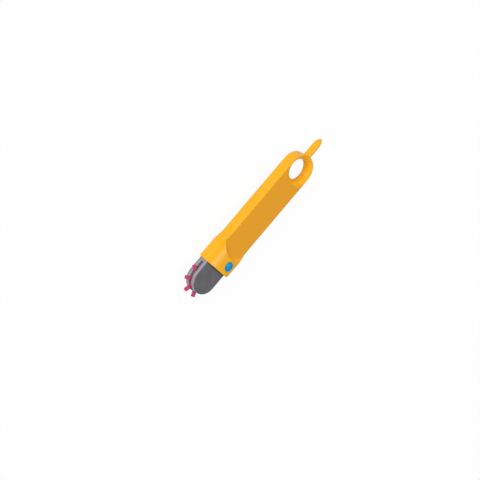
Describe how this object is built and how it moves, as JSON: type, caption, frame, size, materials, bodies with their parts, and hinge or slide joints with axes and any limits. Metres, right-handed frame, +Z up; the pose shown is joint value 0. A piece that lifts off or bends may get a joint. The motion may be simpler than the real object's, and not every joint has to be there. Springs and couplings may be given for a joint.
{
  "type": "folding wheel cutter",
  "caption": "Hand cutter with a hanging ring and a piercing point at the rear and a fold-out nose at the front that carries a freely turning toothed wheel.",
  "frame": {"origin": "centre of the footprint, at the level of the underside of the collar", "axes": "+X along the tool towards the ring and the point, +Z up out of the broad face, +Y towards the closed long edge; the nose swings out towards -Y"},
  "size_m": [0.1882, 0.0374, 0.0198],
  "materials": {
    "yellow_plastic": "satin moulded plastic",
    "blue_plastic": "smooth moulded plastic",
    "magenta_plastic": "satin moulded plastic",
    "light_grey_metal": "light grey paint",
    "dark_grey_plastic": "fine matt texture",
    "steel": "bright turned steel",
    "spring_steel": "tempered strip",
    "brass": "turned brass",
    "nylon": "natural nylon"
  },
  "bodies": {
    "handle": {"handle_shell_top": "yellow_plastic", "handle_shell_bottom": "yellow_plastic", "piercing_point": "yellow_plastic", "pivot_pin": "steel", "pivot_screw": "steel", "pivot_cap": "blue_plastic", "stop_pin": "steel", "detent_spring": "spring_steel", "spring_anchor_pin": "steel", "shell_screw_1": "steel", "shell_screw_2": "steel", "shell_screw_3": "steel", "shell_screw_4": "steel", "thread_insert_1": "brass", "thread_insert_2": "brass", "thread_insert_3": "brass", "thread_insert_4": "brass"},
    "nose": {"nose_frame_top": "light_grey_metal", "nose_frame_bottom": "light_grey_metal", "nose_core": "light_grey_metal", "nose_cover_top": "dark_grey_plastic", "nose_cover_bottom": "dark_grey_plastic", "pivot_bush": "brass", "pivot_washer_top": "nylon", "pivot_washer_bottom": "nylon", "wheel_axle": "steel", "thrust_washer_top": "nylon", "thrust_washer_bottom": "nylon", "nose_rivet_1": "steel", "nose_rivet_2": "steel", "nose_rivet_3": "steel"},
    "wheel": {"cutter_wheel": "magenta_plastic", "wheel_bush": "brass"}
  },
  "joints": [
    {"name": "nose_swing", "type": "hinge", "parent": "handle", "child": "nose", "pos_m": [-0.05111, -0.00744, 0.0088], "axis": [0, 0, 1], "range_deg": [0, 90], "deforming": ["detent_spring"]},
    {"name": "wheel_spin", "type": "hinge", "parent": "nose", "child": "wheel", "pos_m": [-0.07731, 0.00196, 0.0088], "axis": [0, 0, 1], "continuous": true}
  ]
}
